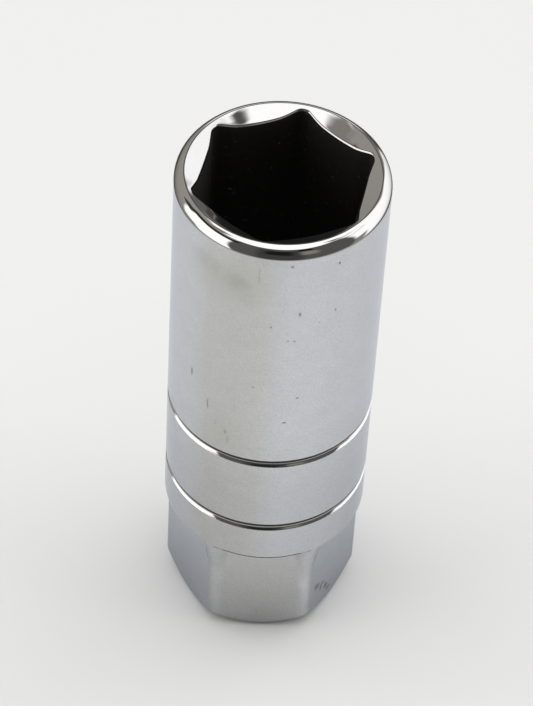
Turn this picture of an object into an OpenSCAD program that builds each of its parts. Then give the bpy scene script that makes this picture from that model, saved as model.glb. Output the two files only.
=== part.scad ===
// Deep socket for spark plugs, standing on its drive end with the plug opening up.
// It is one turned and plated steel body, with a rubber insert inside that grips the plug.

/* [Body] */
// Overall length, from the drive end to the crisp edge of the rim
length = 63; // [55:1:90]
// Diameter of the round body
body_d = 22; // [20:0.5:26]
// Radius that rounds the outside of the rim
rim_r = 1.35; // [1.1:0.05:2]
// Width of the rim, from the outside of the body to its crisp edge
rim_width = 1.05; // [0.8:0.05:1.1]

/* [Grooves] */
// Width of each turned groove
groove_w = 1; // [0.6:0.1:1.6]
// Depth of each turned groove
groove_depth = 0.4; // [0.2:0.05:0.5]
// Height of the middle of the upper groove
upper_groove_z = 30.5; // [26:0.5:40]
// Height of the middle of the lower groove
lower_groove_z = 19.9; // [17:0.5:24]

/* [Plug opening] */
// Wall between the flats of the plug hexagon and the outside of the body
wall_t = 2.925; // [2.6:0.025:3.4]
// Turn of the plug hexagon against the drive hexagon, in degrees
plug_turn = 18.5; // [0:0.5:60]
// Slope of the lead-in, in degrees below level
lead_in_angle = 29.5; // [15:0.5:45]
// Radius of the relief in each corner of the hexagon
relief_r = 0.95; // [0.7:0.05:1.2]
// Height of each relief past the sharp corner
relief_rise = 0.12; // [0.04:0.02:0.3]
// Share of each side that stays flat between its two reliefs
flat_share = 0.62; // [0.3:0.02:0.7]
// Length of the round bore below the hexagon
bore_h = 21; // [15:1:26]
// Step from the flats of the hexagon in to the bore
bore_step = 0.375; // [0.2:0.025:0.8]

/* [Drive end] */
// Height of the drive hexagon
drive_h = 14.6; // [13:0.2:16]
// Depth of the drive hexagon's flats below the round body
drive_step = 1.75; // [1.6:0.05:2.2]
// Radius that rounds each corner of the drive hexagon
drive_corner_r = 1.15; // [0.6:0.05:2]
// Height over which each corner flares out to the round body
flare_h = 3.4; // [2:0.1:5]
// Distance from the top of the flares up to the edge of the shoulder
flare_drop = 0.5; // [0.1:0.1:1.5]
// Slope of the shoulder above the flats, in degrees below level
shoulder_angle = 35; // [5:1:45]
// Width of the flat ring that the socket stands on
end_ring_w = 1.5; // [0.6:0.1:1.8]
// Slope of the end chamfer, in degrees above level
end_chamfer_angle = 48; // [30:1:60]

/* [Square drive] */
// Square hole for the ratchet, across its flats
square_af = 9.6; // [9.5:0.05:9.8]
// Depth of the square hole
square_depth = 11.5; // [10.5:0.5:12.5]
// Width of the countersink past the corners of the square hole
countersink_w = 0.3; // [0.1:0.05:0.6]
// Thickness of the web between the square hole and the bore
web_t = 2.5; // [1.5:0.5:4]
// Diameter of the hole through the web
web_hole_d = 7; // [4:0.5:9]
// Diameter of the ball that each detent recess takes
detent_d = 4; // [3:0.2:5]
// Depth of each detent recess in its wall
detent_depth = 0.8; // [0.4:0.1:1]
// Height of the detent recesses above the drive end
detent_z = 5.2; // [4.5:0.1:6]

/* [Rubber insert] */
// Length of the insert
insert_h = 12; // [8:1:14]
// Wall of the insert, from the gap round it in to its own bore
insert_wall = 2.65; // [1.5:0.05:3.2]
// Distance from the bottom of the hexagon down to the insert
insert_drop = 0.6; // [0.2:0.1:2]
// Gap all round between the insert and the bore
insert_gap = 0.05; // [0.02:0.01:0.1]
// Height of the rib round the insert that snaps into the body
rib_h = 0.7; // [0.4:0.1:1]
// Length of the rib along the insert
rib_len = 3; // [2:0.5:4]
// Bevel at both mouths of the insert's bore
insert_bevel = 0.9; // [0.4:0.1:1.4]

/* [Hidden] */
$fn = 120;

sides = 6;
side_step = 360 / sides;
half_step = side_step / 2;
// Overrun that takes each cut clear of the face it opens
overrun = 1;
// Height of a round corner over the flats beside it, so that the two cross cleanly
corner_proud = 0.006;

body_r = body_d / 2;
edge_r = body_r - rim_width;
rim_z = length - sqrt(pow(rim_r, 2) - pow(rim_r - rim_width, 2));
lead_in_slope = tan(lead_in_angle);

groove_r = (pow(groove_w / 2, 2) + pow(groove_depth, 2)) / (2 * groove_depth);
groove_centre_r = body_r - groove_depth + groove_r;

web_top_z = square_depth + web_t;
plug_floor_z = web_top_z + bore_h;
plug_out = body_r - wall_t;
flat_half = plug_out * tan(half_step) * flat_share;
relief_centre_r = plug_out / cos(half_step) + relief_rise - relief_r;
bore_r = plug_out - bore_step;

drive_out = body_r - drive_step;
drive_corner_out = drive_out + corner_proud - drive_corner_r;
drive_corner_centre_r = drive_corner_out / cos(half_step);
drive_flat_half = drive_corner_out * tan(half_step);
flare_z = drive_h - flare_drop - flare_h;
flare_lean = (body_r - drive_corner_centre_r - drive_corner_r) / flare_h;
shoulder_slope = tan(shoulder_angle);

countersink_r = square_af / 2 * sqrt(2) + countersink_w;
end_face_r = countersink_r + end_ring_w;
end_chamfer_h = (body_r - end_face_r) * tan(end_chamfer_angle);

detent_ball_r = detent_d / 2;
detent_centre_r = square_af / 2 + detent_depth - detent_ball_r;

insert_top_z = plug_floor_z - insert_drop;
insert_r = bore_r - insert_gap;
insert_bore_r = insert_r - insert_wall;
rib_z = insert_top_z - insert_h / 2;

// Turns a place given along a side and out from the axis into x and y
function on_side(along, out, angle) = [
    out * cos(angle) - along * sin(angle),
    out * sin(angle) + along * cos(angle)
];

// Where a line from the end of a flat runs into the relief's circle, all but without a kink
function relief_touch() =
    let (
        start = [flat_half, plug_out],
        centre = [relief_centre_r * sin(half_step), relief_centre_r * cos(half_step)],
        gap = centre - start,
        touch_r = relief_r - corner_proud,
        lean = atan2(gap[1], gap[0]) + asin(touch_r / norm(gap)),
        reach = sqrt(pow(norm(gap), 2) - pow(touch_r, 2))
    )
    start + reach * [cos(lean), sin(lean)];

// Outline of the plug opening: flats that flare into a round relief in each corner
module plug_hexagon() {
    touch = relief_touch();
    polygon([
        for (k = [0:sides - 1])
            let (angle = k * side_step + half_step)
            each [
                on_side(-touch[0], touch[1], angle),
                on_side(-flat_half, plug_out, angle),
                on_side(flat_half, plug_out, angle),
                on_side(touch[0], touch[1], angle),
                relief_centre_r * [cos(angle + half_step), sin(angle + half_step)]
            ]
    ]);
    for (k = [0:sides - 1])
        rotate(k * side_step)
            translate([relief_centre_r, 0])
                circle(relief_r);
}

// Outline of the drive end: a hexagon with round corners
module drive_hexagon() {
    polygon([
        for (k = [0:sides - 1])
            let (angle = k * side_step + half_step)
            each [
                on_side(-drive_flat_half, drive_out, angle),
                on_side(drive_flat_half, drive_out, angle)
            ]
    ]);
    for (k = [0:sides - 1])
        rotate(k * side_step)
            translate([drive_corner_centre_r, 0])
                circle(drive_corner_r);
}

// Half section of the turned blank, with its end chamfer, rim, lead-in and grooves
module blank_profile() {
    difference() {
        union() {
            polygon([
                [0, 0],
                [end_face_r, 0],
                [body_r, end_chamfer_h],
                [body_r, rim_z],
                [body_r - rim_r, rim_z],
                [edge_r, length],
                [0, length]
            ]);
            translate([body_r - rim_r, rim_z])
                circle(rim_r);
        }
        polygon([
            [0, length - edge_r * lead_in_slope],
            [edge_r + overrun, length + overrun * lead_in_slope],
            [0, length + overrun * lead_in_slope]
        ]);
        for (z = [lower_groove_z, upper_groove_z])
            translate([groove_centre_r, z])
                circle(groove_r);
    }
}

// Corners of the drive end, each flaring out until it runs past the round body
module corner_flares() {
    sunk = overrun * flare_lean;
    risen = (drive_h + overrun - flare_z) * flare_lean;
    for (k = [0:sides - 1])
        rotate(k * side_step)
            translate([drive_corner_centre_r, 0, flare_z - overrun])
                cylinder(
                    h = drive_h - flare_z + 2 * overrun,
                    r1 = drive_corner_r - sunk,
                    r2 = drive_corner_r + risen
                );
}

// Everything above the shoulder, which the drive hexagon doesn't cut
module above_shoulder() {
    inner_r = drive_out - overrun;
    outer_r = body_r + overrun;
    rotate_extrude()
        polygon([
            [0, drive_h - (body_r - inner_r) * shoulder_slope],
            [inner_r, drive_h - (body_r - inner_r) * shoulder_slope],
            [outer_r, drive_h + (outer_r - body_r) * shoulder_slope],
            [outer_r, length + overrun],
            [0, length + overrun]
        ]);
}

// Outside of the body: the turned blank with the drive hexagon formed on its lower end
module outside() {
    intersection() {
        rotate_extrude()
            blank_profile();
        union() {
            translate([0, 0, -overrun])
                linear_extrude(drive_h + overrun)
                    drive_hexagon();
            corner_flares();
            above_shoulder();
        }
    }
}

// Square hole for the ratchet, with its countersink and a detent recess in each wall
module square_drive() {
    translate([-square_af / 2, -square_af / 2, -overrun])
        cube([square_af, square_af, square_depth + overrun]);
    translate([0, 0, -overrun])
        cylinder(h = countersink_r + overrun, r1 = countersink_r + overrun, r2 = 0);
    for (turn = [0:90:270])
        rotate(turn)
            translate([detent_centre_r, 0, detent_z])
                sphere(detent_ball_r);
}

// Everything below the hexagon: the bore, the recess for the insert's rib and the web's hole
module inner_bores() {
    translate([0, 0, web_top_z])
        cylinder(h = bore_h + overrun, r = bore_r);
    translate([0, 0, rib_z - rib_len / 2 - insert_gap])
        cylinder(h = rib_len + 2 * insert_gap, r = bore_r + rib_h);
    translate([0, 0, square_depth - overrun])
        cylinder(h = web_t + 2 * overrun, d = web_hole_d);
}

module socket_body() {
    color("silver")
        difference() {
            outside();
            translate([0, 0, plug_floor_z])
                linear_extrude(length - plug_floor_z + overrun)
                    rotate(plug_turn)
                        plug_hexagon();
            inner_bores();
            square_drive();
        }
}

module rubber_insert() {
    color("dimgray")
        translate([0, 0, insert_top_z - insert_h])
            rotate_extrude()
                polygon([
                    [insert_bore_r, insert_bevel],
                    [insert_bore_r + insert_bevel, 0],
                    [insert_r, 0],
                    [insert_r, insert_h / 2 - rib_len / 2],
                    [insert_r + rib_h, insert_h / 2 - rib_len / 2],
                    [insert_r + rib_h, insert_h / 2 + rib_len / 2],
                    [insert_r, insert_h / 2 + rib_len / 2],
                    [insert_r, insert_h],
                    [insert_bore_r + insert_bevel, insert_h],
                    [insert_bore_r, insert_h - insert_bevel]
                ]);
}

socket_body();
rubber_insert();
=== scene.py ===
"""Chrome plated spark plug socket: its fine form, its finishes and the studio it stands in."""

import logging
import math
from dataclasses import dataclass
from enum import Enum

import bmesh
import bpy
import numpy as np
from mathutils import Matrix, Vector


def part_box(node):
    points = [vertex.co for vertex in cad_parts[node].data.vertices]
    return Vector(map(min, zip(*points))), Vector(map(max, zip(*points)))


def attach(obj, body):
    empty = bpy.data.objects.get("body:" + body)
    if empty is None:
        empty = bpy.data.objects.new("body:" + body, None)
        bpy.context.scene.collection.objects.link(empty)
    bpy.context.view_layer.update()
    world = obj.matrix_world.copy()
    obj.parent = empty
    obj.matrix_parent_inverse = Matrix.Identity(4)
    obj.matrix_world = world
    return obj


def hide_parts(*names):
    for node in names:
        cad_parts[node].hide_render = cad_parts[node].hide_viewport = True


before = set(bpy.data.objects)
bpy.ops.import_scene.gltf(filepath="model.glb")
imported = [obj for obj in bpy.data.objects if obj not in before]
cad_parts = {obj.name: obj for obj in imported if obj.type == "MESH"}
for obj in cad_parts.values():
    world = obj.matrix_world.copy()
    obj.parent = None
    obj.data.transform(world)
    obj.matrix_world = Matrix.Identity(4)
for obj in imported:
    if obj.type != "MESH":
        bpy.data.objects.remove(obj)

LOG = logging.getLogger("spark_plug_socket")
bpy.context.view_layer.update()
BODY = "root"

MM = 0.001
FULL_TURN = 2 * math.pi
# Half the angle between two corners of a hexagon.
HALF_STEP = math.pi / 6


class Slot(Enum):
    """Material slots of the record."""

    CHROME = "chrome_plated_steel"
    RUBBER = "black_rubber"


class Zone(Enum):
    """Finish of a stretch of the body's skin, by the place of its material."""

    SATIN = 0
    POLISHED = 1
    BLACKENED = 2
    FORGED = 3
    LEAD_IN = 4
    # Dark matt painted shade in the grooves' upper parts, under the shoulder's edge and on the
    # rim's edge.
    GRIMY = 5


class Gather(Enum):
    """Where a loop's columns gather: number of corners, turn of the first, and how tightly."""

    EVEN = (6, 0.0, 0.0)
    DRIVE_CORNERS = (6, 0.0, 0.8)
    PLUG_CORNERS = (6, 18.5, 0.8)
    SQUARE_CORNERS = (4, 45.0, 0.8)

    def angles(self, columns: int) -> np.ndarray:
        """Angle of each column from +X, in radians.

        Args:
            columns: Number of columns round the axis.

        Returns:
            The rising angles, closest together at the corners.
        """
        corners, first, tightness = self.value
        first = math.radians(first)
        even = np.arange(columns) * FULL_TURN / columns
        return even - tightness / corners * np.sin(corners * (even - first))


def away_from_corner(angle: np.ndarray, corners: int, first: float) -> np.ndarray:
    """Angle between each column and its nearest corner.

    Args:
        angle: Angles from +X, in radians.
        corners: Number of corners round the axis.
        first: Turn of the first corner, in radians.

    Returns:
        Angles from zero up to half the step between two corners.
    """
    step = FULL_TURN / corners
    return np.abs((angle - first + step / 2) % step - step / 2)


def circle_reach(centre: float, radius: np.ndarray | float, away: np.ndarray) -> np.ndarray:
    """Distance from the axis to the far side of a circle, along each column.

    Args:
        centre: Distance from the axis to the circle's centre.
        radius: Radius of the circle, or one radius for each column.
        away: Angle between each column and the circle's centre.

    Returns:
        The distances, or zero where a column misses the circle.
    """
    inside = np.square(radius) - np.square(centre * np.sin(away))
    reach = centre * np.cos(away) + np.sqrt(np.maximum(inside, 0.0))
    return np.where(inside > 0.0, reach, 0.0)


def rounded_polygon(flat: float, corner: float, corners: int, first: float,
                    angle: np.ndarray) -> np.ndarray:
    """Outline of a regular polygon with rounded corners.

    Args:
        flat: Distance from the axis to a flat.
        corner: Radius of the rounded corners.
        corners: Number of corners.
        first: Turn of the first corner, in radians.
        angle: Angle of each column.

    Returns:
        Distance from the axis to the outline, for each column.
    """
    half_step = math.pi / corners
    away = away_from_corner(angle, corners, first)
    centre = (flat - corner) / math.cos(half_step)
    straight = flat / np.cos(half_step - away)
    touch = half_step - math.atan2((flat - corner) * math.tan(half_step), flat)
    return np.where(away < touch, circle_reach(centre, corner, away), straight)


def soft_max(first: np.ndarray, second: np.ndarray, blend: float) -> np.ndarray:
    """The larger of two distances, with the crease between them rounded.

    Args:
        first: One set of distances.
        second: The other set.
        blend: Difference below which the two melt into each other.

    Returns:
        The blended distances.
    """
    share = np.clip(1.0 - np.abs(first - second) / blend, 0.0, 1.0)
    return np.maximum(first, second) + share * share * blend / 4


@dataclass
class Station:
    """One corner of a section, known at every column round the axis."""

    radius: np.ndarray
    height: np.ndarray
    angle: np.ndarray
    rounding: float = 0.0
    steps: int = 0
    spans: int = 1
    zone: Zone = Zone.SATIN


@dataclass
class Loop:
    """One closed loop of the skin, and the finish of the band that leads up to it."""

    radius: np.ndarray
    height: np.ndarray
    angle: np.ndarray
    zone: Zone

    def points(self) -> np.ndarray:
        """Places of the loop's vertices, one row for each column."""
        return np.stack(
            [self.radius * np.cos(self.angle), self.radius * np.sin(self.angle), self.height],
            axis=-1,
        )


def rounded(before: Station, corner: Station, after: Station) -> list[Loop]:
    """Loops of the round that takes the place of one corner.

    Args:
        before: The corner before it.
        corner: The corner to round, with its radius and number of steps.
        after: The corner after it.

    Returns:
        The loops from one end of the round to the other, or the corner itself if it stays sharp.
    """
    if not corner.steps:
        return [Loop(corner.radius, corner.height, corner.angle, corner.zone)]
    place = np.stack([corner.radius, corner.height], axis=-1)
    back = np.stack([before.radius, before.height], axis=-1) - place
    ahead = np.stack([after.radius, after.height], axis=-1) - place
    back_length = np.linalg.norm(back, axis=-1, keepdims=True)
    ahead_length = np.linalg.norm(ahead, axis=-1, keepdims=True)
    back, ahead = back / back_length, ahead / ahead_length
    half = np.arccos(np.clip(np.sum(back * ahead, axis=-1, keepdims=True), -1.0, 1.0)) / 2
    room = 0.45 * np.minimum(back_length, ahead_length)
    setback = np.minimum(corner.rounding / np.tan(half), room)
    radius = setback * np.tan(half)
    centre = place + (back + ahead) / (2 * np.cos(half)) * np.hypot(setback, radius)
    start = (place + back * setback - centre) / radius
    end = (place + ahead * setback - centre) / radius
    turn = math.pi - 2 * half
    loops = []
    for step in range(corner.steps + 1):
        share = step / corner.steps
        spoke = np.sin((1 - share) * turn) * start + np.sin(share * turn) * end
        point = centre + radius * spoke / np.sin(turn)
        loops.append(Loop(point[:, 0], point[:, 1], corner.angle, corner.zone))
    return loops


def loops_of(stations: list[Station]) -> list[Loop]:
    """All the loops of a closed section, with its corners rounded and its long bands divided.

    Args:
        stations: The corners in order. The last joins the first.

    Returns:
        The loops in order, each with the finish of the band before it.
    """
    count = len(stations)
    rounds = [
        rounded(stations[k - 1], stations[k], stations[(k + 1) % count]) for k in range(count)
    ]
    loops: list[Loop] = []
    for k, station in enumerate(stations):
        start, end = rounds[k - 1][-1], rounds[k][0]
        for span in range(1, station.spans if k else 1):
            share = span / station.spans
            loops.append(
                Loop(
                    start.radius + share * (end.radius - start.radius),
                    start.height + share * (end.height - start.height),
                    start.angle + share * (end.angle - start.angle),
                    station.zone,
                )
            )
        loops.extend(rounds[k])
    return loops


@dataclass
class TurnedPiece:
    """A piece that is closed all round the axis, drawn out loop by loop along its section."""

    name: str
    node: str
    slot: Slot
    columns: int

    def ring(self, radius: float | np.ndarray, height: float | np.ndarray, gather: Gather,
             rounding: float = 0.0, steps: int = 0, spans: int = 1,
             zone: Zone = Zone.SATIN) -> Station:
        """A station from sizes that may be the same at every column.

        Args:
            radius: Distance from the axis.
            height: Height above the drive end.
            gather: Where the columns gather.
            rounding: Radius of the corner's round.
            steps: Bands across the round, or zero for none.
            spans: Bands from the station before to this one.
            zone: Finish of the skin up to this station.

        Returns:
            The station, with one value for each column.
        """
        full = np.ones(self.columns)
        return Station(radius * full, height * full, gather.angles(self.columns),
                       rounding, steps, spans, zone)

    def stations(self) -> list[Station]:
        """Corners of the section, in order round the skin."""
        raise NotImplementedError

    def build(self) -> bpy.types.Object:
        """Draws the skin out from a circle, closes it and gives it its finished normals.

        Returns:
            The finished piece, without its materials.
        """
        loops = loops_of(self.stations())
        first = loops[0].points()
        bpy.ops.object.select_all(action="DESELECT")
        bpy.ops.mesh.primitive_circle_add(
            vertices=self.columns, radius=float(loops[0].radius[0]), fill_type="NOTHING"
        )
        piece = bpy.context.object
        piece.name = piece.data.name = self.name
        bpy.ops.object.mode_set(mode="EDIT")
        mesh = bmesh.from_edit_mesh(piece.data)
        column = mesh.verts.layers.int.new("column")
        for vertex in mesh.verts:
            turn = math.atan2(vertex.co.y, vertex.co.x) / FULL_TURN
            vertex[column] = round(turn * self.columns) % self.columns
            vertex.co = first[vertex[column]]
        for loop in loops[1:]:
            bpy.ops.mesh.extrude_region_move()
            mesh = bmesh.from_edit_mesh(piece.data)
            column = mesh.verts.layers.int["column"]
            places = loop.points()
            for vertex in mesh.verts:
                if vertex.select:
                    vertex.co = places[vertex[column]]
                    for face in vertex.link_faces:
                        face.material_index = loop.zone.value
        bpy.ops.mesh.select_all(action="DESELECT")
        bpy.ops.mesh.select_non_manifold()
        bpy.ops.mesh.bridge_edge_loops()
        bpy.ops.mesh.select_all(action="SELECT")
        bpy.ops.mesh.normals_make_consistent(inside=False)
        bpy.ops.object.mode_set(mode="OBJECT")
        piece.data.attributes.remove(piece.data.attributes["column"])
        bpy.ops.object.shade_smooth()
        weighted = piece.modifiers.new("weighted_normals", "WEIGHTED_NORMAL")
        weighted.mode = "FACE_AREA"
        weighted.weight = 50
        bpy.ops.object.modifier_apply(modifier=weighted.name)
        return piece

    def place(self, piece: bpy.types.Object) -> None:
        """Ties the finished piece to the frame in its node's stead.

        Args:
            piece: The finished piece.
        """
        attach(piece, BODY)
        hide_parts(self.node)
        LOG.info("%s: %d faces", piece.name, len(piece.data.polygons))


@dataclass(frozen=True)
class PlugSection:
    """Section of the plug opening: flats that flare into a round relief in each corner."""

    flat: float
    relief_radius: float
    relief_rise: float
    flat_share: float
    turn: float = math.radians(18.5)

    def reach(self, angle: np.ndarray) -> np.ndarray:
        """Outline of the section.

        Args:
            angle: Angle of each column.

        Returns:
            Distance from the axis to the outline, for each column.
        """
        away = away_from_corner(angle, 6, self.turn)
        centre = self.flat / math.cos(HALF_STEP) + self.relief_rise - self.relief_radius
        flat_half = self.flat * math.tan(HALF_STEP) * self.flat_share
        gap = Vector((centre / 2 - flat_half, centre * math.cos(HALF_STEP) - self.flat))
        lean = math.atan2(gap.y, gap.x) + math.asin(self.relief_radius / gap.length)
        run = math.sqrt(gap.length_squared - self.relief_radius ** 2)
        touch = Vector((flat_half, self.flat)) + run * Vector((math.cos(lean), math.sin(lean)))
        side = HALF_STEP - away
        on_flat = self.flat / np.cos(side)
        rise = self.flat - flat_half * math.tan(lean)
        on_flare = rise / (np.cos(side) - np.sin(side) * math.tan(lean))
        on_relief = circle_reach(centre, self.relief_radius, away)
        past_touch = side > math.atan2(touch.x, touch.y)
        past_flat = side > math.atan2(flat_half, self.flat)
        return np.where(past_touch, on_relief, np.where(past_flat, on_flare, on_flat))


@dataclass
class SocketBody(TurnedPiece):
    """The steel body: forged, turned, broached and chrome plated in one piece.

    A field that ends in round is the radius that rounds an edge. Painted shade, a dark matt
    finish, sits in the upper part of each groove, from painted_shade_from in radians off its
    middle, on the rim's crisp edge, and under the shoulder's edge as far round from the front as
    painted_shade_reach. The foot's round may run up the flats by foot_run, and the widened mouth
    closes to the plug hexagon over mouth_drop.
    """

    name: str = "plated_body"
    node: str = "socket_body"
    slot: Slot = Slot.CHROME
    columns: int = 432

    # Whole body, rim and lead-in
    length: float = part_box("socket_body")[1].z
    radius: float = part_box("socket_body")[1].x
    rim_width: float = 1.05 * MM
    rim_radius: float = 1.35 * MM
    lead_in_slope: float = math.tan(math.radians(29.5))
    edge_round: float = 0.07 * MM

    # Turned grooves
    groove_width: float = 1.0 * MM
    groove_depth: float = 0.25 * MM
    groove_heights: tuple[float, float] = (19.9 * MM, 30.5 * MM)
    lip_round: float = 0.08 * MM
    painted_shade_from: float = -0.05

    # Plug opening
    plug_section: PlugSection = PlugSection(8.075 * MM, 0.95 * MM, 0.12 * MM, 0.62)
    mouth_section: PlugSection = PlugSection(8.175 * MM, 1.3 * MM, 0.02 * MM, 0.5)
    mouth_round: float = 0.5 * MM
    mouth_drop: float = 1.2 * MM
    plug_floor: float = 35.0 * MM
    plug_floor_round: float = 0.3 * MM

    # Drive end, from its flares and shoulder down to its foot
    drive_flat: float = 9.25 * MM
    drive_corner: float = 1.15 * MM
    flare_start: float = 10.7 * MM
    flare_height: float = 3.4 * MM
    forged_blend: float = 0.3 * MM
    blend_run: float = 0.1 * MM
    shoulder: float = 14.6 * MM
    shoulder_slope: float = math.tan(math.radians(35.0))
    shoulder_least: float = 0.15 * MM
    shoulder_split: float = 0.6
    shoulder_round: float = 0.36 * MM
    root_round: float = 0.08 * MM
    painted_shade_reach: float = math.radians(29.0)
    end_face: float = 8.588 * MM
    end_face_round: float = 0.2 * MM
    end_slope: float = math.tan(math.radians(48.0))
    foot_round: float = 1.1 * MM
    foot_run: float = 1.2 * MM

    # Bore, the recess for the insert's rib, and the web
    bore: float = 7.7 * MM
    bore_round: float = 0.12 * MM
    recess: float = 8.4 * MM
    recess_low: float = 26.85 * MM
    recess_high: float = 29.95 * MM
    recess_round: float = 0.15 * MM
    web_top: float = 14.0 * MM
    web_round: float = 0.4 * MM
    web_hole: float = 3.5 * MM
    web_hole_round: float = 0.2 * MM

    # Square drive hole and its ball recesses
    square_flat: float = 4.8 * MM
    square_depth: float = 11.5 * MM
    square_corner: float = 0.25 * MM
    square_floor_round: float = 0.15 * MM
    square_mouth_round: float = 0.08 * MM
    countersink: float = 7.088 * MM
    countersink_round: float = 0.12 * MM
    detent_ball: float = 2.0 * MM
    detent_depth: float = 0.8 * MM
    detent_height: float = 5.2 * MM

    def hexagon(self, angle: np.ndarray) -> np.ndarray:
        """Outline of the drive hexagon below its flares, at each column's angle."""
        return rounded_polygon(self.drive_flat, self.drive_corner, 6, 0.0, angle)

    def wall(self, angle: np.ndarray, height: np.ndarray) -> np.ndarray:
        """Outside of the drive end, with the corners flaring out to the round body.

        Args:
            angle: Angle of each column.
            height: Height at each column.

        Returns:
            Distance from the axis, for each column.
        """
        away = away_from_corner(angle, 6, 0.0)
        centre = (self.drive_flat - self.drive_corner) / math.cos(HALF_STEP)
        lean = (self.radius - centre - self.drive_corner) / self.flare_height
        risen = np.maximum(height - self.flare_start, 0.0) * lean
        flare = circle_reach(centre, self.drive_corner + risen, away)
        flats = self.hexagon(angle)
        blend = self.forged_blend * np.clip(risen / self.blend_run, 0.001, 1.0)
        free = soft_max(flats, flare, blend)
        return -soft_max(-free, np.full_like(free, -self.radius), self.forged_blend / 2)

    def square_outline(self, angle: np.ndarray, height: float) -> np.ndarray:
        """Outline of the square hole at one height, with the ball recesses in its walls.

        Args:
            angle: Angle of each column.
            height: Height above the drive end.

        Returns:
            Distance from the axis to the outline, for each column.
        """
        first = math.pi / 4
        square = rounded_polygon(self.square_flat, self.square_corner, 4, first, angle)
        ball_centre = self.square_flat + self.detent_depth - self.detent_ball
        from_ball = height - self.detent_height
        slice_radius = math.sqrt(max(self.detent_ball ** 2 - from_ball ** 2, 0.0))
        ball = circle_reach(ball_centre, slice_radius, first - away_from_corner(angle, 4, first))
        return np.maximum(square, ball)

    def drive_end(self) -> list[Station]:
        """Stations from the countersink's edge, round the end chamfer and up to the shoulder."""
        gather = Gather.DRIVE_CORNERS
        forged = Zone.FORGED
        angle = gather.angles(self.columns)
        foot = self.hexagon(angle)
        chamfer_top = (foot - self.end_face) * self.end_slope
        squared = Gather.SQUARE_CORNERS
        stations = [
            self.ring(self.countersink, 0.0, squared, self.countersink_round, 4),
            self.ring(self.end_face, 0.0, gather, self.end_face_round, 4, spans=3),
            self.ring(foot, chamfer_top, gather, self.foot_round, 7, spans=3, zone=forged),
            self.ring(foot, chamfer_top + self.foot_run, gather, zone=forged),
            self.ring(foot, self.flare_start, gather, spans=6, zone=forged),
        ]
        top = self.shoulder_root(angle)
        rises = 12
        for rise in range(1, rises):
            height = self.flare_start + (top - self.flare_start) * rise / rises
            stations.append(self.ring(self.wall(angle, height), height, gather, zone=forged))
        wall = self.wall(angle, top)
        split_radius = wall + (self.radius - wall) * self.shoulder_split
        split_height = top + (self.shoulder - top) * self.shoulder_split
        stations += [
            self.ring(wall, top, gather, self.root_round, 3, zone=forged),
            self.ring(split_radius, split_height, gather, spans=2, zone=forged),
            # The shoulder's slope and edge round take painted shade, a dark line under the edge.
            self.ring(self.radius, self.shoulder, gather, self.shoulder_round, 5, zone=Zone.GRIMY),
        ]
        return stations

    def shoulder_root(self, angle: np.ndarray) -> np.ndarray:
        """Height at which the shoulder's slope meets the outside of the drive end.

        Args:
            angle: Angle of each column.

        Returns:
            The heights, found by following the wall up and down the slope until they settle.
        """
        top = np.full(self.columns, self.shoulder)
        tries = 8
        for _ in range(tries):
            top = self.shoulder - (self.radius - self.wall(angle, top)) * self.shoulder_slope
        return np.minimum(top, self.shoulder - self.shoulder_least)

    def groove(self, height: float) -> list[Station]:
        """Stations of one turned groove, from its lower lip to its upper one.

        Args:
            height: Height of the groove's middle.

        Returns:
            The groove's stations.
        """
        gather = Gather.EVEN
        half = self.groove_width / 2
        radius = (half ** 2 + self.groove_depth ** 2) / (2 * self.groove_depth)
        centre = self.radius - self.groove_depth + radius
        reach = math.acos((centre - self.radius) / radius)
        bends = 14
        stations = [self.ring(self.radius, height - half, gather, self.lip_round, 4, spans=4)]
        # The groove's upper part and upper lip take dark matt painted shade, where the lip shades
        # the groove.
        for bend in range(1, bends):
            turn = reach * (2 * bend / bends - 1)
            stations.append(
                self.ring(
                    centre - radius * math.cos(turn),
                    height + radius * math.sin(turn),
                    gather,
                    zone=Zone.GRIMY if turn > self.painted_shade_from else Zone.POLISHED,
                )
            )
        stations.append(
            self.ring(self.radius, height + half, gather, self.lip_round, 4, zone=Zone.GRIMY)
        )
        return stations

    def rim(self) -> list[Station]:
        """Stations of the polished rim, from the round body over to its crisp edge."""
        gather = Gather.PLUG_CORNERS
        reach = math.acos(1 - self.rim_width / self.rim_radius)
        centre_r = self.radius - self.rim_radius
        centre_z = self.length - self.rim_radius * math.sin(reach)
        stations = [self.ring(self.radius, centre_z, gather, spans=8)]
        bends = 18
        for bend in range(1, bends):
            tilt = reach * bend / bends
            stations.append(
                self.ring(
                    centre_r + self.rim_radius * math.cos(tilt),
                    centre_z + self.rim_radius * math.sin(tilt),
                    gather,
                    zone=Zone.POLISHED,
                )
            )
        edge = self.radius - self.rim_width
        # The rim's crisp edge takes painted shade, a thin dark line round the mouth.
        stations.append(
            self.ring(edge, self.length, gather, self.edge_round, 4, zone=Zone.GRIMY)
        )
        return stations

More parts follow.
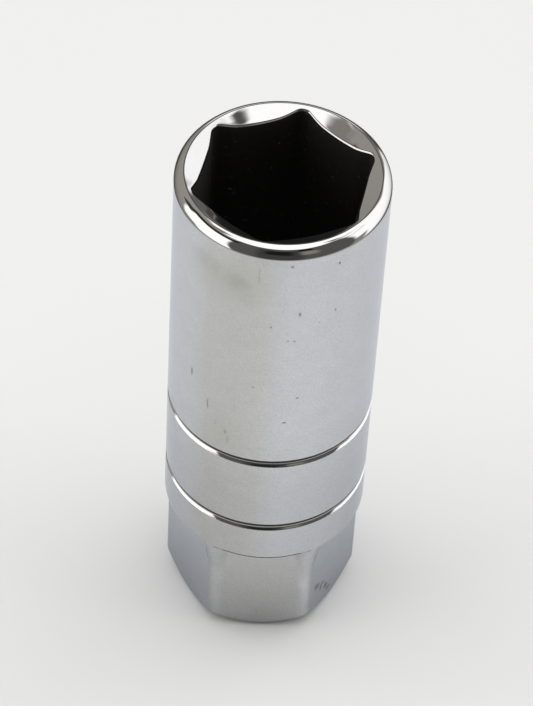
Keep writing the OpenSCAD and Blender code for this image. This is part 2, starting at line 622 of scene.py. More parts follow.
    def plug_end(self) -> list[Station]:
        """Stations of the lead-in, the hexagon, the bore, its recess and the web."""
        gather = Gather.PLUG_CORNERS
        angle = gather.angles(self.columns)
        outline = self.plug_section.reach(angle)
        flared = self.mouth_section.reach(angle)
        edge = self.radius - self.rim_width
        mouth = self.length - (edge - flared) * self.lead_in_slope
        dark = Zone.BLACKENED
        even = Gather.EVEN
        return [
            self.ring(flared, mouth, gather, self.mouth_round, 9, spans=4, zone=Zone.LEAD_IN),
            self.ring(outline, mouth - self.mouth_drop, gather, zone=dark),
            self.ring(outline, self.plug_floor, gather, self.plug_floor_round, 3, 4, dark),
            self.ring(self.bore, self.plug_floor, gather, self.bore_round, 3, 2, dark),
            self.ring(self.bore, self.recess_high, even, spans=3, zone=dark),
            self.ring(self.recess, self.recess_high, even, self.recess_round, 2, zone=dark),
            self.ring(self.recess, self.recess_low, even, self.recess_round, 2, zone=dark),
            self.ring(self.bore, self.recess_low, even, zone=dark),
            self.ring(self.bore, self.web_top, even, self.web_round, 3, 5, dark),
            self.ring(self.web_hole, self.web_top, even, self.web_hole_round, 3, 3, dark),
            self.ring(self.web_hole, self.square_depth, even, self.web_hole_round, 3, 2, dark),
        ]

    def square_hole(self) -> list[Station]:
        """Stations of the square hole, from its ceiling down to the countersink."""
        gather = Gather.SQUARE_CORNERS
        angle = gather.angles(self.columns)
        dark = Zone.BLACKENED
        ceiling = self.square_outline(angle, self.square_depth)
        stations = [
            self.ring(ceiling, self.square_depth, gather, self.square_floor_round, 2, 4, dark)
        ]
        slices = 20
        high = self.detent_height + self.detent_ball
        for cut in range(slices + 1):
            height = high - 2 * self.detent_ball * cut / slices
            outline = self.square_outline(angle, height)
            stations.append(
                self.ring(outline, height, gather, spans=1 if cut else 3, zone=dark)
            )
        mouth = self.square_outline(angle, 0.0)
        rise = self.countersink - mouth
        stations.append(self.ring(mouth, rise, gather, self.square_mouth_round, 3, zone=dark))
        return stations

    def stations(self) -> list[Station]:
        """Corners of the section, from the end face up outside and back down inside."""
        low_groove, high_groove = self.groove_heights
        return [
            *self.drive_end(),
            *self.groove(low_groove),
            *self.groove(high_groove),
            *self.rim(),
            *self.plug_end(),
            *self.square_hole(),
        ]

    def build(self) -> bpy.types.Object:
        """Builds the skin, with painted shade under the shoulder's edge at the front alone.

        Returns:
            The finished piece, without its materials.
        """
        piece = super().build()
        # Away from the front, the painted shade under the shoulder's edge goes back to forged
        # chrome.
        for face in piece.data.polygons:
            if face.material_index == Zone.GRIMY.value and face.center.z < self.shoulder + MM:
                from_front = math.atan2(face.center.x, -face.center.y)
                if abs(from_front) > self.painted_shade_reach:
                    face.material_index = Zone.FORGED.value
        return piece


@dataclass
class RubberInsert(TurnedPiece):
    """The moulded rubber sleeve that grips the plug's insulator."""

    name: str = "grip_insert"
    node: str = "rubber_insert"
    slot: Slot = Slot.RUBBER
    columns: int = 192

    low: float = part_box("rubber_insert")[0].z
    high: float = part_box("rubber_insert")[1].z
    rib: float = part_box("rubber_insert")[1].x
    outside: float = 7.65 * MM
    bore: float = 5.0 * MM
    bevel: float = 0.9 * MM
    rib_low: float = 26.9 * MM
    rib_high: float = 29.9 * MM
    moulded_round: float = 0.25 * MM

    def stations(self) -> list[Station]:
        """Corners of the section, from the bottom up outside and back down the bore."""
        round_, even = self.moulded_round, Gather.EVEN
        return [
            self.ring(self.bore + self.bevel, self.low, even, round_, 3),
            self.ring(self.outside, self.low, even, round_, 3, spans=2),
            self.ring(self.outside, self.rib_low, even, spans=3),
            self.ring(self.rib, self.rib_low, even, round_, 3),
            self.ring(self.rib, self.rib_high, even, round_, 3, spans=2),
            self.ring(self.outside, self.rib_high, even),
            self.ring(self.outside, self.high, even, round_, 3, spans=3),
            self.ring(self.bore + self.bevel, self.high, even, round_, 3, spans=2),
            self.ring(self.bore, self.high - self.bevel, even, round_, 3),
            self.ring(self.bore, self.low + self.bevel, even, round_, 3, spans=6),
        ]


def linear(hex_colour: str) -> tuple[float, float, float, float]:
    """Linear colour for a shader from an sRGB hex colour.

    Args:
        hex_colour: Six hex digits after a hash sign.

    Returns:
        Red, green and blue in linear light, and an alpha of one.
    """
    channels = [int(hex_colour[k:k + 2], 16) / 255 for k in (1, 3, 5)]
    curve = [c / 12.92 if c <= 0.04045 else ((c + 0.055) / 1.055) ** 2.4 for c in channels]
    return (*curve, 1.0)


def shade(hex_colour: str, strength: float) -> tuple[float, float, float, float]:
    """Linear colour of a light.

    Args:
        hex_colour: Its hue, as an sRGB hex colour.
        strength: How bright it is beside a white surface.

    Returns:
        The hue times its strength, and an alpha of one.
    """
    return (*(channel * strength for channel in linear(hex_colour)[:3]), 1.0)


def add_node(tree: bpy.types.NodeTree, kind: str, settings: dict | None = None,
             links: dict | None = None) -> bpy.types.Node:
    """Adds one node with its settings and links.

    Args:
        tree: The node tree that it joins.
        kind: The node's type.
        settings: Values by the name of an input or of a property.
        links: Output sockets by the name or place of the input that they feed.

    Returns:
        The new node.
    """
    node = tree.nodes.new(kind)
    for name, value in (settings or {}).items():
        if isinstance(name, int) or name in node.inputs:
            node.inputs[name].default_value = value
        else:
            setattr(node, name, value)
    for name, source in (links or {}).items():
        tree.links.new(source, node.inputs[name])
    return node


def add_noise(tree: bpy.types.NodeTree, coordinates: bpy.types.NodeSocket, size: float,
              detail: float, roughness: float) -> bpy.types.Node:
    """Adds a noise texture.

    Args:
        tree: The material's tree.
        coordinates: Where on the piece it is read.
        size: Size of its largest features, in metres.
        detail: Number of finer layers.
        roughness: Weight of the finer layers.

    Returns:
        The noise's node.
    """
    return add_node(
        tree, "ShaderNodeTexNoise",
        {"Scale": 1 / size, "Detail": detail, "Roughness": roughness},
        {"Vector": coordinates},
    )


def new_material(name: str) -> tuple[bpy.types.Material, bpy.types.NodeTree]:
    """A material with an empty node tree.

    Args:
        name: The material's name.

    Returns:
        The material and its tree.
    """
    material = bpy.data.materials.new(name)
    material.use_nodes = True
    material.node_tree.nodes.clear()
    return material, material.node_tree


@dataclass(frozen=True)
class Mark:
    """A pit, a nick, a scratch, a matt patch or a painted highlight, placed on the unrolled
    outside of the body.
    """

    arc: float
    height: float
    half_width: float
    half_height: float
    strength: float


@dataclass(frozen=True)
class ChromeFinish:
    """Decorative chrome plate over nickel: a neutral metal whose gloss follows the ground below.

    A plate on fine ground or turned steel spreads its highlights into soft bands, and a polished
    one mirrors the room with hard edges. Near front_arc, round the front, the plate keeps the
    warmer front_tint; away from it, over front_edge, it fades into tint, a cooler cast that is a
    painted reflection of bluish side light. Below low_shade_heights the plate is darkened to
    low_shade_share of its brightness, a painted shade towards the drive end. Pits show dark, as
    they mirror the sides of their own hole, greasy smears lay a matt tone over the metal, and on
    the hexagon the same marks lay painted highlights. A metallic value just below one leaves the
    faint haze of fine scratches.
    """

    name: str
    front_tint: str
    tint: str
    edge_tint: str
    roughness: float
    grain: float
    grain_size: float
    grain_depth: float = 0.01 * MM
    gloss_spread: float = 0.15
    uneven: float = 0.015
    patch_share: float = 0.3
    patch_size: float = 2.2 * MM
    metallic: float = 1.0
    front_arc: float = -4.5 * MM
    front_edge: tuple[float, float] = (2.0 * MM, 6.5 * MM)
    low_shade_heights: tuple[float, float] = (24.0 * MM, 36.0 * MM)
    low_shade_share: float = 1.0
    pits: tuple[Mark, ...] = ()
    pit_colour: str = "#3A3836"
    pit_softness: float = 0.4
    pit_depth: float = 2.0
    smudges_and_highlights: tuple[Mark, ...] = ()
    smudge_and_highlight_colour: str = "#9C9A8E"
    smudge_and_highlight_softness: float = 0.9
    ragged: float = 0.3 * MM
    around: float = 11.0 * MM

    def spread(self, tree: bpy.types.NodeTree, place: bpy.types.NodeSocket,
               marks: tuple[Mark, ...], softness: float) -> bpy.types.NodeSocket | None:
        """Mask of a set of marks.

        Args:
            tree: The material's tree.
            place: Place on the unrolled outside.
            marks: The marks.
            softness: Share of each mark over which it fades out.

        Returns:
            The strongest mark at each place, or None if there are no marks.
        """
        mask = None
        for mark in marks:
            gap = add_node(
                tree, "ShaderNodeVectorMath",
                {"operation": "SUBTRACT", 1: (mark.arc, mark.height, 0.0)}, {0: place},
            )
            scaled = add_node(
                tree, "ShaderNodeVectorMath",
                {"operation": "MULTIPLY", 1: (1 / mark.half_width, 1 / mark.half_height, 0.0)},
                {0: gap.outputs[0]},
            )
            size = add_node(
                tree, "ShaderNodeVectorMath", {"operation": "LENGTH"}, {0: scaled.outputs[0]}
            )
            inside = add_node(
                tree, "ShaderNodeMapRange",
                {
                    "interpolation_type": "SMOOTHSTEP",
                    "From Min": 1.0 - softness,
                    "From Max": 1.0 + softness,
                    "To Min": mark.strength,
                    "To Max": 0.0,
                },
                {"Value": size.outputs["Value"]},
            )
            if mask is None:
                mask = inside.outputs[0]
            else:
                strongest = add_node(
                    tree, "ShaderNodeMath", {"operation": "MAXIMUM"},
                    {0: mask, 1: inside.outputs[0]},
                )
                mask = strongest.outputs[0]
        return mask

    def unroll(self, tree: bpy.types.NodeTree,
               axes: bpy.types.Node) -> tuple[bpy.types.NodeSocket, bpy.types.NodeSocket]:
        """The outside of the body rolled out flat, with the front in the middle.

        Args:
            tree: The material's tree.
            axes: Node with the place's coordinates one by one.

        Returns:
            The arc from the front, and the arc and height together.
        """
        front = add_node(
            tree, "ShaderNodeMath", {"operation": "MULTIPLY", 1: -1.0}, {0: axes.outputs["Y"]}
        )
        turn = add_node(
            tree, "ShaderNodeMath", {"operation": "ARCTAN2"},
            {0: axes.outputs["X"], 1: front.outputs[0]},
        )
        arc = add_node(
            tree, "ShaderNodeMath", {"operation": "MULTIPLY", 1: self.around}, {0: turn.outputs[0]}
        )
        flat = add_node(
            tree, "ShaderNodeCombineXYZ", links={"X": arc.outputs[0], "Y": axes.outputs["Z"]}
        )
        return arc.outputs[0], flat.outputs[0]

    def cast(self, tree: bpy.types.NodeTree, arc: bpy.types.NodeSocket) -> bpy.types.NodeSocket:
        """Colour of the plate: the cooler tint, a painted reflection of bluish side light, turned
        to front_tint round the front.

        Args:
            tree: The material's tree.
            arc: Arc from the front.

        Returns:
            The colour.
        """
        # Painted reflection: away from the front the plate turns cooler, as the sides mirror
        # bluish side light.
        from_front_arc = add_node(
            tree, "ShaderNodeMath", {"operation": "SUBTRACT", 1: self.front_arc}, {0: arc}
        )
        beside = add_node(
            tree, "ShaderNodeMath", {"operation": "ABSOLUTE"}, {0: from_front_arc.outputs[0]}
        )
        toward_sides = add_node(
            tree, "ShaderNodeMapRange",
            {
                "interpolation_type": "SMOOTHSTEP",
                "From Min": self.front_edge[0],
                "From Max": self.front_edge[1],
            },
            {"Value": beside.outputs[0]},
        )
        mixed = add_node(
            tree, "ShaderNodeMix",
            {"data_type": "RGBA", 6: linear(self.front_tint), 7: linear(self.tint)},
            {0: toward_sides.outputs["Result"]},
        )
        return mixed.outputs[2]

    def brightness(self, tree: bpy.types.NodeTree, height: bpy.types.NodeSocket,
                   patches: bpy.types.Node, grain: bpy.types.Node) -> bpy.types.NodeSocket:
        """How bright the plate is beside an even one, from its unevenness and from painted shade
        towards the drive end.

        Args:
            tree: The material's tree.
            height: Height above the drive end.
            patches: Noise of the broad unevenness.
            grain: Noise of the fine ground surface.

        Returns:
            The factor of brightness.
        """
        # Painted shade: the plate darkens towards the drive end.
        darkened_low = add_node(
            tree, "ShaderNodeMapRange",
            {
                "From Min": self.low_shade_heights[0],
                "From Max": self.low_shade_heights[1],
                "To Min": self.low_shade_share,
            },
            {"Value": height},
        )
        factor = darkened_low.outputs["Result"]
        for noise, spread in ((patches, self.patch_share * self.uneven), (grain, self.uneven)):
            varied = add_node(
                tree, "ShaderNodeMapRange",
                {
                    "From Min": 0.3,
                    "From Max": 0.7,
                    "To Min": 1.0 - spread,
                    "To Max": 1.0 + spread,
                },
                {"Value": noise.outputs["Fac"]},
            )
            factor = add_node(
                tree, "ShaderNodeMath", {"operation": "MULTIPLY"},
                {0: factor, 1: varied.outputs["Result"]},
            ).outputs[0]
        return factor

    def worn(self, tree: bpy.types.NodeTree, place: bpy.types.NodeSocket,
             colour: bpy.types.NodeSocket, relief: bpy.types.NodeSocket,
             patches: bpy.types.Node) -> tuple[bpy.types.NodeSocket, bpy.types.NodeSocket]:
        """The plate with its smears, painted highlights and pits laid over it.

        Args:
            tree: The material's tree.
            place: Place on the unrolled outside.
            colour: Colour of the plate.
            relief: Relief of the plate.
            patches: Noise that breaks the smears and painted highlights up.

        Returns:
            The colour and the relief with the marks.
        """
        # Smears on the body; on the hexagon the same mask lays painted highlights.
        smudge_and_highlight = self.spread(tree, place, self.smudges_and_highlights, self.smudge_and_highlight_softness)
        if smudge_and_highlight is not None:
            patchy = add_node(
                tree, "ShaderNodeMapRange",
                {"From Min": 0.36, "From Max": 0.6, "To Min": 0.5, "To Max": 1.0},
                {"Value": patches.outputs["Fac"]},
            )
            patchy_mark = add_node(
                tree, "ShaderNodeMath", {"operation": "MULTIPLY"},
                {0: smudge_and_highlight, 1: patchy.outputs["Result"]},
            )
            colour = add_node(
                tree, "ShaderNodeMix", {"data_type": "RGBA", 7: linear(self.smudge_and_highlight_colour)},
                {0: patchy_mark.outputs[0], 6: colour},
            ).outputs[2]
        pit = self.spread(tree, place, self.pits, self.pit_softness)
        if pit is not None:
            colour = add_node(
                tree, "ShaderNodeMix", {"data_type": "RGBA", 7: linear(self.pit_colour)},
                {0: pit, 6: colour},
            ).outputs[2]
            relief = add_node(
                tree, "ShaderNodeMath", {"operation": "MULTIPLY_ADD", 1: -self.pit_depth},
                {0: pit, 2: relief},
            ).outputs[0]
        return colour, relief

    def material(self) -> bpy.types.Material:
        """The finish as a procedural material."""
        material, tree = new_material(self.name)
        coordinates = add_node(tree, "ShaderNodeTexCoord").outputs["Object"]
        grain = add_noise(tree, coordinates, self.grain_size, 4.0, 0.6)
        patches = add_noise(tree, coordinates, self.patch_size, 5.0, 0.7)
        axes = add_node(tree, "ShaderNodeSeparateXYZ", links={"Vector": coordinates})
        arc, flat = self.unroll(tree, axes)
        ragged = add_node(
            tree, "ShaderNodeVectorMath",
            {
                "operation": "MULTIPLY_ADD",
                1: (self.ragged,) * 3,
                2: (-self.ragged / 2, -self.ragged / 2, 0.0),
            },
            {0: grain.outputs["Color"]},
        )
        place = add_node(
            tree, "ShaderNodeVectorMath", {"operation": "ADD"}, {0: flat, 1: ragged.outputs[0]}
        )
        plate = add_node(
            tree, "ShaderNodeVectorMath", {"operation": "SCALE"},
            {
                0: self.cast(tree, arc),
                "Scale": self.brightness(tree, axes.outputs["Z"], patches, grain),
            },
        )
        colour, relief = self.worn(
            tree, place.outputs[0], plate.outputs[0], grain.outputs["Fac"], patches
        )
        rough = add_node(
            tree, "ShaderNodeMapRange",
            {
                "To Min": self.roughness * (1.0 - self.gloss_spread),
                "To Max": self.roughness * (1.0 + self.gloss_spread),
            },
            {"Value": grain.outputs["Fac"]},
        )
        bump = add_node(
            tree, "ShaderNodeBump", {"Strength": self.grain, "Distance": self.grain_depth},
            {"Height": relief},
        )
        shader = add_node(
            tree, "ShaderNodeBsdfPrincipled",
            {"Specular Tint": linear(self.edge_tint), "Metallic": self.metallic},
            {
                "Base Color": colour,
                "Roughness": rough.outputs["Result"],
                "Normal": bump.outputs["Normal"],
            },
        )
        add_node(tree, "ShaderNodeOutputMaterial", links={"Surface": shader.outputs["BSDF"]})
        return material


@dataclass(frozen=True)
class DarkFinish:
    """A dark matt surface: oxide scale, painted shade, or moulded carbon black rubber.

    All three soak up nearly all light and scatter the rest without gloss. Where scale has worn
    through, small grey flecks of bare steel show.
    """

    name: str
    dark: str
    light: str
    roughness: float
    grain_size: float
    grain: float
    grain_depth: float = 0.05 * MM
    flecks: float = 0.0
    fleck_range: tuple[float, float] = (0.64, 0.74)
    fleck_colour: str = "#5E5C5A"

    def material(self) -> bpy.types.Material:
        """The finish as a procedural material."""
        material, tree = new_material(self.name)
        coordinates = add_node(tree, "ShaderNodeTexCoord").outputs["Object"]
        grain = add_noise(tree, coordinates, self.grain_size, 5.0, 0.6)
        plain = add_node(
            tree, "ShaderNodeMix",
            {"data_type": "RGBA", 6: linear(self.dark), 7: linear(self.light)},
            {0: grain.outputs["Fac"]},
        )
        flecks = add_node(
            tree, "ShaderNodeMapRange",
            {
                "From Min": self.fleck_range[0],
                "From Max": self.fleck_range[1],
                "To Max": self.flecks,
            },
            {"Value": grain.outputs["Fac"]},
        )
        colour = add_node(
            tree, "ShaderNodeMix", {"data_type": "RGBA", 7: linear(self.fleck_colour)},
            {0: flecks.outputs["Result"], 6: plain.outputs[2]},
        )
        bump = add_node(
            tree, "ShaderNodeBump",
            {"Strength": self.grain, "Distance": self.grain_depth},
            {"Height": grain.outputs["Fac"]},
        )
        shader = add_node(
            tree, "ShaderNodeBsdfPrincipled",
            {"Roughness": self.roughness, "Specular IOR Level": 0.3},
            {"Base Color": colour.outputs[2], "Normal": bump.outputs["Normal"]},
        )
        add_node(tree, "ShaderNodeOutputMaterial", links={"Surface": shader.outputs["BSDF"]})
        return material


def marks_in_mm(*rows: tuple[float, float, float, float, float]) -> tuple[Mark, ...]:
    """Marks from rows of numbers.

    Args:
        *rows: Arc, height, half width and half height in millimetres, then the strength.

    Returns:
        One mark for each row.
    """
    return tuple(Mark(*(length * MM for length in row[:4]), row[4]) for row in rows)


BODY_PITS = marks_in_mm(
    (1.17, 60.85, 0.16, 0.2, 0.5),
    (6.2, 59.99, 0.13, 0.13, 0.8),
    (2.26, 53.8, 0.13, 0.3, 0.55),
    (6.13, 53.22, 0.09, 0.2, 0.5),
    (4.4, 52.1, 0.14, 0.12, 0.25),
    (-0.57, 51.93, 0.14, 0.14, 0.5),
    (1.23, 49.88, 0.14, 0.1, 0.45),
    (1.89, 49.82, 0.16, 0.1, 0.5),
    (6.8, 50.2, 0.1, 0.1, 0.3),
    (9.4, 50.4, 0.1, 0.1, 0.35),
    (-9.51, 40.46, 0.14, 0.6, 0.5),
    (-2.04, 42.48, 0.12, 0.18, 0.35),
    (2.63, 41.0, 0.14, 0.14, 0.6),
    (-7.1, 37.4, 0.1, 0.75, 0.45),
    (1.4, 37.23, 0.22, 0.12, 0.7),
    (-4.82, 34.34, 0.16, 0.3, 0.3),
    (-4.5, 33.2, 0.14, 0.6, 0.16),
    (-6.0, 35.2, 0.08, 0.4, 0.2),
    (-2.03, 59.1, 0.09, 1.1, 0.16),
)
BODY_SMUDGES = marks_in_mm(
    (-4.6, 57.4, 1.6, 1.3, 0.6),
    (-7.5, 58.2, 2.0, 1.4, 0.45),
    (-3.4, 56.0, 1.2, 1.2, 0.3),
    (-5.6, 57.4, 3.4, 2.6, 0.3),
    (-5.0, 34.0, 2.0, 3.2, 0.2),
)
# Painted highlights: pale bands down the hexagon's corners, laid with the same marks as smears.
HEXAGON_PAINTED_HIGHLIGHTS = marks_in_mm(
    (5.5, 7.5, 0.6, 6.5, 0.36),
    (-5.3, 7.5, 0.5, 6.5, 0.15),
)
HEXAGON_PITS = marks_in_mm(
    (7.6, 5.7, 0.4, 0.2, 0.65),
    (8.0, 5.2, 0.6, 0.26, 0.75),
    (8.9, 4.2, 0.28, 0.5, 0.6),
    (9.3, 4.6, 0.6, 0.2, 0.65),
    (10.2, 3.4, 0.4, 0.4, 0.75),
    (10.9, 2.4, 0.6, 0.24, 0.6),
)
# Satin body: cooler at the sides as a painted reflection of bluish side light, and darker towards
# the drive end as painted shade.
SATIN_CHROME = ChromeFinish(
    name="satin_chrome_plate",
    front_tint="#C4C4C2",
    tint="#CDCFD3",
    edge_tint="#E6E8EC",
    roughness=0.2,
    grain=0.35,
    grain_size=0.16 * MM,
    uneven=0.12,
    low_shade_share=0.89,
    pits=BODY_PITS,
    smudges_and_highlights=BODY_SMUDGES,
)
POLISHED_CHROME = ChromeFinish(
    name="polished_chrome_plate",
    front_tint="#9A9997",
    tint="#9A9997",
    edge_tint="#808080",
    roughness=0.035,
    grain=0.04,
    grain_size=0.3 * MM,
)
LEAD_IN_CHROME = ChromeFinish(
    name="lead_in_chrome_plate",
    front_tint="#969594",
    tint="#969594",
    edge_tint="#BCBCBC",
    roughness=0.05,
    grain=0.05,
    grain_size=0.3 * MM,
    metallic=0.975,
)
# Hexagon: painted shade darkens the flats towards the foot, the side flats take a cooler painted
# reflection of bluish side light, and its pale marks are painted highlights.
FORGED_CHROME = ChromeFinish(
    name="forged_chrome_plate",
    front_tint="#BEBEBE",
    tint="#BFC2C7",
    edge_tint="#E6E8EC",
    roughness=0.23,
    grain=0.35,
    grain_size=0.16 * MM,
    uneven=0.12,
    front_arc=0.0,
    front_edge=(5.6 * MM, 7.4 * MM),
    low_shade_heights=(0.0, 14.0 * MM),
    low_shade_share=0.72,
    pits=HEXAGON_PITS,
    smudges_and_highlights=HEXAGON_PAINTED_HIGHLIGHTS,
    smudge_and_highlight_colour="#E4E8EE",
)
BORE_SCALE = DarkFinish(
    name="oxide_scaled_bore",
    dark="#070606",
    light="#181310",
    roughness=0.6,
    grain_size=0.5 * MM,
    grain=0.3,
    flecks=0.8,
)
# Painted shade: the dark matt finish laid in the grooves, under the shoulder's edge and on the
# rim's edge.
PAINTED_SHADE_FINISH = DarkFinish(
    name="painted_shade_in_grooves",
    dark="#1A1816",
    light="#302E2B",
    roughness=0.5,
    grain_size=0.3 * MM,
    grain=0.2,
)
MOULDED_RUBBER = DarkFinish(
    name="moulded_rubber",
    dark="#0B0B0C",
    light="#16161A",
    roughness=0.7,
    grain_size=0.4 * MM,
    grain=0.2,
)
BODY_FINISHES = {
    Zone.SATIN: SATIN_CHROME,
    Zone.POLISHED: POLISHED_CHROME,
    Zone.BLACKENED: BORE_SCALE,
    Zone.FORGED: FORGED_CHROME,
    Zone.LEAD_IN: LEAD_IN_CHROME,
    Zone.GRIMY: PAINTED_SHADE_FINISH,
}


@dataclass(frozen=True)
class Panel:
    """A patch of the studio's walls or ceiling, as seen from the socket."""

    azimuth: tuple[float, float]
    elevation: tuple[float, float]
    softness: float
    colour: str
    strength: float

    def span(self, tree: bpy.types.NodeTree, angle: bpy.types.Node, ends: tuple[float, float],
             around: bool = False) -> bpy.types.NodeSocket:
        """Mask of the directions between two angles, with soft ends.

        Args:
            tree: The world's tree.
            angle: Node with the angle of each direction.
            ends: The two angles, in degrees.
            around: Whether the angle runs on round the socket.

        Returns:
            One between the two angles and zero outside them.
        """
        low, high = ends
        apart = add_node(
            tree, "ShaderNodeMath", {"operation": "SUBTRACT", 1: math.radians((low + high) / 2)},
            {0: angle.outputs[0]},
        )
        if around:
            apart = add_node(
                tree, "ShaderNodeMath", {"operation": "WRAP", 1: -math.pi, 2: math.pi},
                {0: apart.outputs[0]},
            )
        size = add_node(tree, "ShaderNodeMath", {"operation": "ABSOLUTE"}, {0: apart.outputs[0]})
        half = (high - low) / 2
        edge = add_node(
            tree, "ShaderNodeMapRange",
            {
                "interpolation_type": "SMOOTHSTEP",
                "From Min": math.radians(half - self.softness),
                "From Max": math.radians(half + self.softness),
                "To Min": 1.0,
                "To Max": 0.0,
            },
            {"Value": size.outputs[0]},
        )
        return edge.outputs[0]


@dataclass
class Studio:
    """Pale floor under plain soft light, with bright and dark sides for the chrome to mirror."""

    floor_radius: float = 125 * MM
    floor_centre: float = 20 * MM
    floor_fade: tuple[float, float] = (100 * MM, 120 * MM)
    floor_colour: str = "#BCBCBB"
    backdrop: str = "#EDEEED"
    sky_walls: tuple[str, float] = ("#FFFFFF", 0.7)
    sky: tuple[Panel, ...] = (
        Panel((-180, 180), (56, 95), 6.0, "#FFFFFF", 3.0),
        Panel((-60, 60), (-20, 50), 10.0, "#FFFFFF", 0.22),
        Panel((70, 150), (0, 40), 8.0, "#FFFFFF", 3.0),
        Panel((-130, -60), (0, 40), 8.0, "#FFFFFF", 3.1),
    )
    walls: tuple[str, float] = ("#FFF9F0", 0.68)
    panels: tuple[Panel, ...] = (
        Panel((-180, 180), (55, 95), 3.0, "#FFFFFF", 3.3),
        Panel((-180, -104), (-60, 60), 3.0, "#FFFBF2", 0.82),
        Panel((-178, -142), (-60, -9), 4.0, "#FFFFFF", 0.34),
        Panel((-52, 72), (-95, 57), 3.0, "#FFFFFF", 0.23),
        Panel((-22, 22), (-95, 46), 5.0, "#FFFFFF", 0.13),
        Panel((-14, 12), (8, 38), 5.0, "#FFFFFF", 0.03),
        Panel((20, 36), (40, 52), 2.0, "#FFFFFF", 0.01),
        Panel((20, 36), (6, 34), 4.0, "#FFF6EE", 0.6),
        Panel((-88, -49), (-36, 33), 2.5, "#FFFFFF", 3.2),
        Panel((-104, -80), (-22, 33), 2.5, "#FFFFFF", 3.2),
        Panel((-110, -44), (35, 47), 2.0, "#FFFFFF", 0.04),
        Panel((-114, -98), (20, 38), 2.5, "#FFFFFF", 0.1),
        Panel((86, 152), (-31, 14), 3.0, "#FCFDFF", 3.2),
        Panel((72, 147), (-4, 36), 3.0, "#FCFDFF", 3.1),
        Panel((76, 96), (38, 52), 3.0, "#FFFFFF", 3.0),
        Panel((96, 132), (32, 57), 4.0, "#FFFFFF", 3.0),
        Panel((73, 90), (57, 67), 4.0, "#FFFFFF", 0.2),
        Panel((153, 163), (-14, 16), 2.0, "#FFFFFF", 0.34),
        Panel((146, 160), (24, 38), 3.0, "#FFFFFF", 0.5),
        Panel((163, 196), (5, 20), 3.5, "#FFFFFF", 2.9),
        Panel((-104, -76), (49, 66), 4.0, "#FFFBF4", 0.6),
    )

    def build_floor(self) -> None:
        """Lays the floor that the socket stands on."""
        bpy.ops.object.select_all(action="DESELECT")
        bpy.ops.mesh.primitive_circle_add(
            vertices=96, radius=self.floor_radius, fill_type="NGON",
            location=(0.0, self.floor_centre, 0.0),
        )
        floor = bpy.context.object
        floor.name = "floor"
        bpy.ops.object.transform_apply(location=True)
        material, tree = new_material("pale_matt_floor")
        coordinates = add_node(tree, "ShaderNodeTexCoord")
        from_centre = add_node(
            tree, "ShaderNodeVectorMath",
            {"operation": "DISTANCE", 1: (0.0, self.floor_centre, 0.0)},
            {0: coordinates.outputs["Object"]},
        )
        solid = add_node(
            tree, "ShaderNodeMapRange",
            {
                "interpolation_type": "SMOOTHSTEP",
                "From Min": self.floor_fade[0],
                "From Max": self.floor_fade[1],
                "To Min": 1.0,
                "To Max": 0.0,
            },
            {"Value": from_centre.outputs["Value"]},
        )
        shader = add_node(
            tree, "ShaderNodeBsdfPrincipled",
            {"Base Color": linear(self.floor_colour), "Roughness": 0.9, "Specular IOR Level": 0.1},
            {"Alpha": solid.outputs["Result"]},
        )
        add_node(tree, "ShaderNodeOutputMaterial", links={"Surface": shader.outputs["BSDF"]})
        floor.data.materials.append(material)

    def surround(self, tree: bpy.types.NodeTree, azimuth: bpy.types.Node,
                 elevation: bpy.types.Node, walls: tuple[str, float],
                 panels: tuple[Panel, ...]) -> bpy.types.NodeSocket:
        """An even wall with panels laid over it in order.

        Args:
            tree: The world's tree.
            azimuth: Node with the angle from the camera's side.
            elevation: Node with the angle above the floor.
            walls: Colour and strength of the wall.
            panels: The panels, in degrees.

        Returns:
            The colour of the light from each direction.
        """
        light = add_node(tree, "ShaderNodeRGB")
        light.outputs[0].default_value = shade(*walls)
        colour = light.outputs[0]
        for panel in panels:
            both = add_node(
                tree, "ShaderNodeMath", {"operation": "MULTIPLY"},
                {
                    0: panel.span(tree, azimuth, panel.azimuth, around=True),
                    1: panel.span(tree, elevation, panel.elevation),
                },
            )
            mixed = add_node(
                tree, "ShaderNodeMix",
                {"data_type": "RGBA", 7: shade(panel.colour, panel.strength)},
                {0: both.outputs[0], 6: colour},
            )
            colour = mixed.outputs[2]
        return colour

    def build_light(self) -> None:
        """Makes the world from an even wall and its bright and dark panels."""
        world = bpy.data.worlds.new("studio")
        bpy.context.scene.world = world
        world.use_nodes = True
        tree = world.node_tree
        tree.nodes.clear()
        coordinates = add_node(tree, "ShaderNodeTexCoord")
        axes = add_node(
            tree, "ShaderNodeSeparateXYZ", links={"Vector": coordinates.outputs["Generated"]}
        )
        toward_camera = add_node(
            tree, "ShaderNodeMath", {"operation": "MULTIPLY", 1: -1.0}, {0: axes.outputs["Y"]}
        )
        azimuth = add_node(
            tree, "ShaderNodeMath", {"operation": "ARCTAN2"},
            {0: axes.outputs["X"], 1: toward_camera.outputs[0]},
        )
        elevation = add_node(
            tree, "ShaderNodeMath", {"operation": "ARCSINE"}, {0: axes.outputs["Z"]}
        )
        seen = add_node(tree, "ShaderNodeLightPath")
        lit = add_node(
            tree, "ShaderNodeMix", {"data_type": "RGBA"},
            {
                0: seen.outputs["Is Glossy Ray"],
                6: self.surround(tree, azimuth, elevation, self.sky_walls, self.sky),
                7: self.surround(tree, azimuth, elevation, self.walls, self.panels),
            },
        )
        shown = add_node(
            tree, "ShaderNodeMix", {"data_type": "RGBA", 7: linear(self.backdrop)},
            {0: seen.outputs["Is Camera Ray"], 6: lit.outputs[2]},
        )
        background = add_node(
            tree, "ShaderNodeBackground", {"Strength": 1.0}, {"Color": shown.outputs[2]}
        )
        add_node(tree, "ShaderNodeOutputWorld", links={"Surface": background.outputs[0]})

    def build(self) -> None:
        """Builds the floor and the light."""
        self.build_floor()
        self.build_light()
        bpy.context.scene.view_settings.view_transform = "Standard"


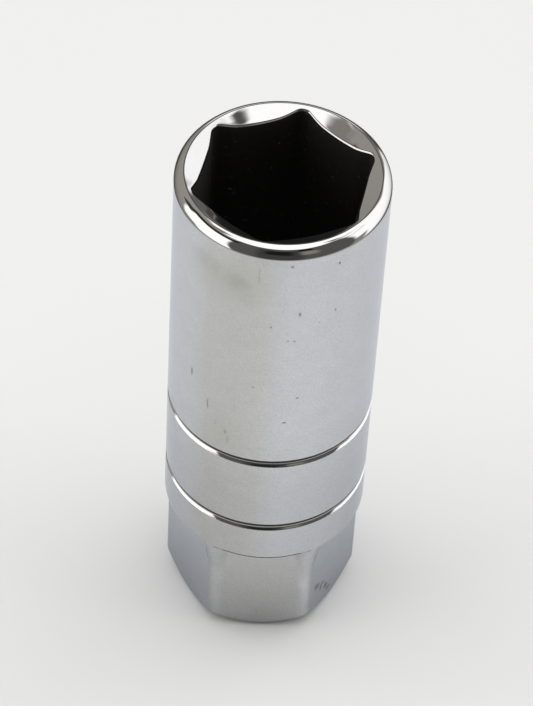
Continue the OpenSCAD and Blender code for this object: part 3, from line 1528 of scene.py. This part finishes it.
@dataclass
class PhotoCamera:
    """Camera at the photograph's viewing angle."""

    place: tuple[float, float, float] = (-6.0896 * MM, -232.554 * MM, 296.059 * MM)
    yaw: float = math.radians(1.35044)
    pitch: float = math.radians(48.21319)
    roll: float = math.radians(3.52648)
    focal_px: float = 3289.186
    long_side_px: float = 706.0
    sensor: float = 36.0

    def build(self) -> None:
        """Adds the camera, turned to look down at the socket."""
        camera_data = bpy.data.cameras.new("photo_camera")
        camera_data.sensor_width = self.sensor
        camera_data.sensor_fit = "AUTO"
        camera_data.lens = self.focal_px * self.sensor / self.long_side_px
        camera_data.clip_start = 0.01
        camera = bpy.data.objects.new("photo_camera", camera_data)
        bpy.context.scene.collection.objects.link(camera)
        ahead = Vector((
            math.sin(self.yaw) * math.cos(self.pitch),
            math.cos(self.yaw) * math.cos(self.pitch),
            -math.sin(self.pitch),
        ))
        level = Vector((math.cos(self.yaw), -math.sin(self.yaw), 0.0))
        upright = level.cross(ahead)
        right = math.cos(self.roll) * level + math.sin(self.roll) * upright
        up = -math.sin(self.roll) * level + math.cos(self.roll) * upright
        camera.matrix_world = (
            Matrix.Translation(Vector(self.place))
            @ Matrix((right, up, -ahead)).transposed().to_4x4()
        )
        bpy.context.scene.camera = camera


def main() -> None:
    """Builds the studio, then each piece with its finish, and notes the sizes."""
    logging.basicConfig(level=logging.INFO, format="%(message)s")
    PhotoCamera().build()
    Studio().build()

    body = SocketBody()
    plated_body = body.build()
    for zone in Zone:
        plated_body.data.materials.append(BODY_FINISHES[zone].material())
    body.place(plated_body)

    insert = RubberInsert()
    grip_insert = insert.build()
    grip_insert.data.materials.append(MOULDED_RUBBER.material())
    insert.place(grip_insert)


if __name__ == "__main__":
    main()
